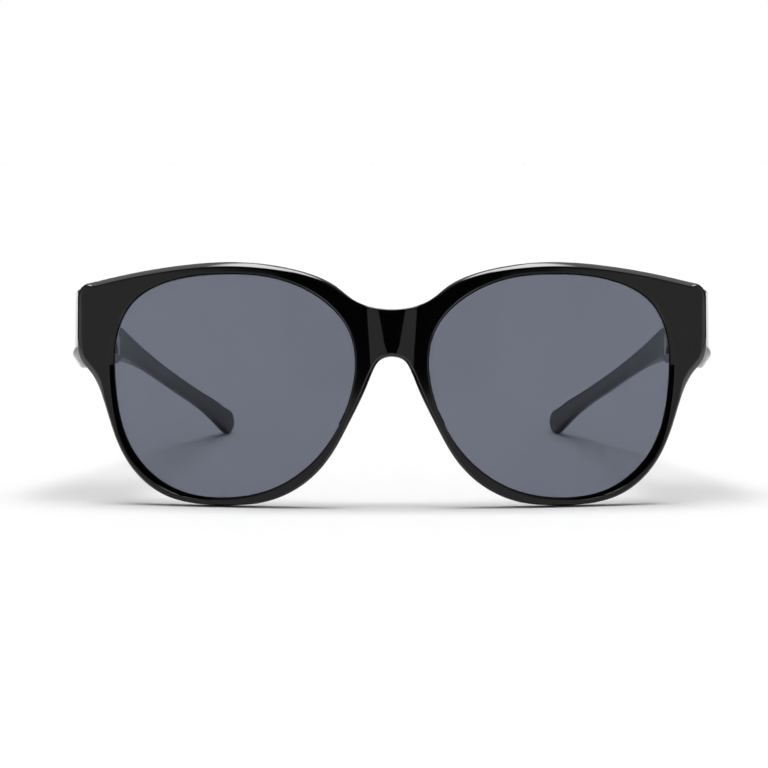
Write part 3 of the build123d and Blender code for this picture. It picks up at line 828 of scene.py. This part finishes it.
slottedScrews = screwTree()
jointY, middleZ = temple["jointY"], hingePoint.z / mm
toe = math.radians(temple["toeIn"])
inward = np.array([-math.cos(toe), -math.sin(toe), 0])
along = np.array([-math.sin(toe), math.cos(toe), 0])
pinTop = (hingePoint.x / mm, jointY, middleZ + screw["pin"]["Shank Length"] / 2)
frontPlaces = [(rootInnerX - screw["leafSeat"], jointY - screw["frontDistance"],
                middleZ + way * screw["spacing"] / 2) for way in (-1, 1)]
templePlaces = [np.array([rootInnerX, jointY, middleZ]) + along * distance
                + inward * screw["leafSeat"] for distance in screw["templeDistances"]]
for side, mirror in (("Left", False), ("Right", True)):
    low = side.lower()
    makeScrews(f"hingePin{side}", f"hinge_screw_{low}", "front", "pin", [pinTop],
               (0, 0, 1), (0, 1, 0), mirror)
    makeScrews(f"frontScrews{side}", f"front_hinge_screws_{low}", "front", "anchor", frontPlaces,
               (-1, 0, 0), (0, 0, 1), mirror)
    makeScrews(f"templeScrews{side}", f"temple_hinge_screws_{low}", f"{low}_temple", "anchor",
               templePlaces, inward, (0, 0, 1), mirror)
print("screws made")

for name, node in frame["nodes"].items():
    if "hinge" in name and "screw" not in name:
        node.data.materials.clear()
        node.data.materials.append(hingeMetal)

# Studio: a white floor under a strip softbox, and round it the softboxes, the pale strip, the
# lamp, the glow and the two cards that only shiny faces show
studio = {
    "cameraDistance": 585.9, "cameraHeight": 88.1, "cameraPitch": 5.72, "focalLength": 118.76,
    "sensor": 36.0, "imagePixels": 768, "centreColumn": 391.95, "clip": (0.01, 20),
    "floorSize": 6.0, "floorColor": "#fafafa", "ambient": 0.27,
    # Strip softbox above, in the plane of the front: level, tilt, and where it fades each way,
    # as distances for a height of one, which are worked out for no less than leastHeight
    "stripLevel": 8.8, "stripTilt": 0.15, "stripDeep": (0.26, 0.16), "stripWide": (0.5, 0.3),
    "leastHeight": 0.001,
    # Glow behind the vertical: level, the angles from it and the distances back at which it fades
    "glowLevel": 1.3, "glowFade": (48, 38), "glowStart": (0.12, 0.2),
    # Softboxes: levels by the angle from the camera's side in degrees, the heights between
    # which they fade, and the share of their level above that
    "around": [(24, 0), (30, 0.5), (42, 0.5), (60, 1.1), (72, 1.1), (78, 0), (128, 0), (140, 0.3),
               (180, 0.35)],
    "highFade": (25, 35), "highLevel": 0.3,
    # Pale strip above the horizon: level, top in front and at the sides, turn to them, and end
    "lowLevel": 0.5, "lowTop": (10.8, 13.1), "lowTurn": (12, 14), "lowEnd": 60,
    # Round lamp behind the vertical: level, tilt and the angles at which it fades
    "lampLevel": 12.0, "lampTilt": 7, "lampFade": (18, 10),
    # White cards beside the temples in metres, and their level
    "cardX": 0.130, "cardY": 0.065, "cardLength": 0.170, "cardHeight": 0.100, "cardLevel": 1.6,
}


def makeFloor():
    size = studio["floorSize"]
    material, tree = newMaterial("whiteSweep")
    matte = addNode(tree, "ShaderNodeBsdfDiffuse", {"Color": linear(studio["floorColor"])})
    addNode(tree, "ShaderNodeOutputMaterial", {"Surface": matte})
    corners = [(-size, -size, 0), (size, -size, 0), (size, size, 0), (-size, size, 0)]
    floor = meshObject("floor", corners, [(0, 1, 2, 3)], material)


def sine(degrees):
    return math.sin(math.radians(degrees))


def cosine(degrees):
    return math.cos(math.radians(degrees))


def fade(start, end, low=0, high=1):
    # Inputs of a Map Range node
    return {"From Min": start, "From Max": end, "To Min": low, "To Max": high}


def shinyLevel(tree, way, y, z, side):
    # Level of the surround that shiny faces show
    ahead = addNode(tree, "ShaderNodeMath", {0: y, 1: -1.0}, operation="MULTIPLY")
    turn = addNode(tree, "ShaderNodeMath", {0: side, 1: ahead}, operation="ARCTAN2")
    share = addNode(tree, "ShaderNodeMath", {0: turn, 1: math.pi}, operation="DIVIDE")
    around = addNode(tree, "ShaderNodeValToRGB", {0: share})
    brightest = max(level for degrees, level in studio["around"])
    for degrees, level in studio["around"][:-1]:
        around.color_ramp.elements.new(degrees / 180).color = [level / brightest] * 3 + [1]
    around.color_ramp.elements[-1].color = [studio["around"][-1][1] / brightest] * 3 + [1]
    high = addNode(tree, "ShaderNodeMapRange",
                   {"Value": z, **fade(*map(sine, studio["highFade"]), brightest,
                                       brightest * studio["highLevel"])})
    boxes = addNode(tree, "ShaderNodeMath", {0: around, 1: high}, operation="MULTIPLY")
    lowTop = addNode(tree, "ShaderNodeMapRange",
                     {"Value": turn, **fade(*map(math.radians, studio["lowTurn"]),
                                            *map(sine, studio["lowTop"]))})
    isLow = addNode(tree, "ShaderNodeMath", {0: z, 1: lowTop}, operation="LESS_THAN")
    isFront = addNode(tree, "ShaderNodeMath", {0: turn, 1: math.radians(studio["lowEnd"])},
                      operation="LESS_THAN")
    lowPart = addNode(tree, "ShaderNodeMath", {0: isLow, 1: isFront}, operation="MULTIPLY")
    lowLight = addNode(tree, "ShaderNodeMath", {0: lowPart, 1: studio["lowLevel"]}, operation="MULTIPLY")
    lower = addNode(tree, "ShaderNodeMath", {0: boxes, 1: lowLight}, operation="MAXIMUM")
    tilt = studio["lampTilt"]
    toLamp = addNode(tree, "ShaderNodeVectorMath", {0: way, 1: (0, sine(tilt), cosine(tilt))},
                     operation="DOT_PRODUCT").outputs["Value"]
    lamp = addNode(tree, "ShaderNodeMapRange",
                   {"Value": toLamp, **fade(*map(cosine, studio["lampFade"]), 0, studio["lampLevel"])},
                   interpolation_type="SMOOTHSTEP")
    glowHigh = addNode(tree, "ShaderNodeMapRange",
                       {"Value": z, **fade(*map(cosine, studio["glowFade"]), 0, studio["glowLevel"])})
    glowBack = addNode(tree, "ShaderNodeMapRange", {"Value": y, **fade(*studio["glowStart"])})
    glow = addNode(tree, "ShaderNodeMath", {0: glowHigh, 1: glowBack}, operation="MULTIPLY")
    upper = addNode(tree, "ShaderNodeMath", {0: lamp, 1: glow}, operation="MAXIMUM")
    return addNode(tree, "ShaderNodeMath", {0: lower, 1: upper}, operation="ADD")


def mattLevel(tree, y, z, side):
    # Level of the surround that lights matt faces: even, and brighter in the strip softbox
    height = addNode(tree, "ShaderNodeMath", {0: z, 1: studio["leastHeight"]}, operation="MAXIMUM")
    wide = addNode(tree, "ShaderNodeMath", {0: side, 1: height}, operation="DIVIDE")
    deep = addNode(tree, "ShaderNodeMath", {0: y, 1: height}, operation="DIVIDE")
    offPlane = addNode(tree, "ShaderNodeMath", {0: deep, 1: studio["stripTilt"]}, operation="SUBTRACT")
    offAbs = addNode(tree, "ShaderNodeMath", {0: offPlane}, operation="ABSOLUTE")
    inDepth = addNode(tree, "ShaderNodeMapRange", {"Value": offAbs, **fade(*studio["stripDeep"])})
    inWidth = addNode(tree, "ShaderNodeMapRange",
                      {"Value": wide, **fade(*studio["stripWide"], 0, studio["stripLevel"])})
    strip = addNode(tree, "ShaderNodeMath", {0: inDepth, 1: inWidth}, operation="MULTIPLY")
    return addNode(tree, "ShaderNodeMath", {0: strip, 1: studio["ambient"]}, operation="ADD")


def makeWorld():
    world = bpy.data.worlds.new("studioWorld")
    bpy.context.scene.world = world
    world.use_nodes = True
    tree = world.node_tree
    tree.nodes.clear()
    way = addNode(tree, "ShaderNodeTexCoord").outputs["Generated"]
    x, y, z = addNode(tree, "ShaderNodeSeparateXYZ", {0: way}).outputs
    side = addNode(tree, "ShaderNodeMath", {0: x}, operation="ABSOLUTE")
    plain = {"Color": (1, 1, 1, 1)}
    shiny = addNode(tree, "ShaderNodeBackground",
                    {**plain, "Strength": shinyLevel(tree, way, y, z, side)})
    matt = addNode(tree, "ShaderNodeBackground", {**plain, "Strength": mattLevel(tree, y, z, side)})
    white = addNode(tree, "ShaderNodeBackground", plain)
    path = addNode(tree, "ShaderNodeLightPath").outputs
    seen = addNode(tree, "ShaderNodeMath",
                   {0: path["Is Camera Ray"], 1: path["Is Transmission Ray"]}, operation="MAXIMUM")
    lit = addNode(tree, "ShaderNodeMixShader", {0: path["Is Glossy Ray"], 1: matt, 2: shiny})
    mixed = addNode(tree, "ShaderNodeMixShader", {0: seen, 1: lit, 2: white})
    addNode(tree, "ShaderNodeOutputWorld", {"Surface": mixed})


def makeCard(name, side):
    # A lit card that only shiny faces show
    light = bpy.data.lights.new(name, "AREA")
    light.shape = "RECTANGLE"
    light.size, light.size_y = studio["cardLength"], studio["cardHeight"]
    light.energy = studio["cardLevel"] * math.pi * light.size * light.size_y
    card = bpy.data.objects.new(name, light)
    card.location = (side * studio["cardX"], studio["cardY"], studio["cardHeight"] / 2)
    card.rotation_euler = Vector((-side, 0, 0)).to_track_quat("-Z", "Y").to_euler()
    card.visible_camera = card.visible_diffuse = card.visible_transmission = False
    bpy.context.scene.collection.objects.link(card)


def makeCamera():
    apex = place([(0, 0, 0)])[0]
    data = bpy.data.cameras.new("studioCamera")
    data.sensor_width = studio["sensor"]
    data.lens = studio["focalLength"]
    data.shift_x = 0.5 - studio["centreColumn"] / studio["imagePixels"]
    data.clip_start, data.clip_end = studio["clip"]
    camera = bpy.data.objects.new("studioCamera", data)
    camera.location = (0, apex[1] - studio["cameraDistance"] * mm, studio["cameraHeight"] * mm)
    camera.rotation_euler = (math.pi / 2 - math.radians(studio["cameraPitch"]), 0, 0)
    bpy.context.scene.collection.objects.link(camera)
    bpy.context.scene.camera = camera


makeFloor()
makeWorld()
makeCard("cardLeft", 1)
makeCard("cardRight", -1)
makeCamera()
bpy.context.scene.view_settings.view_transform = "Standard"
print("studio made")
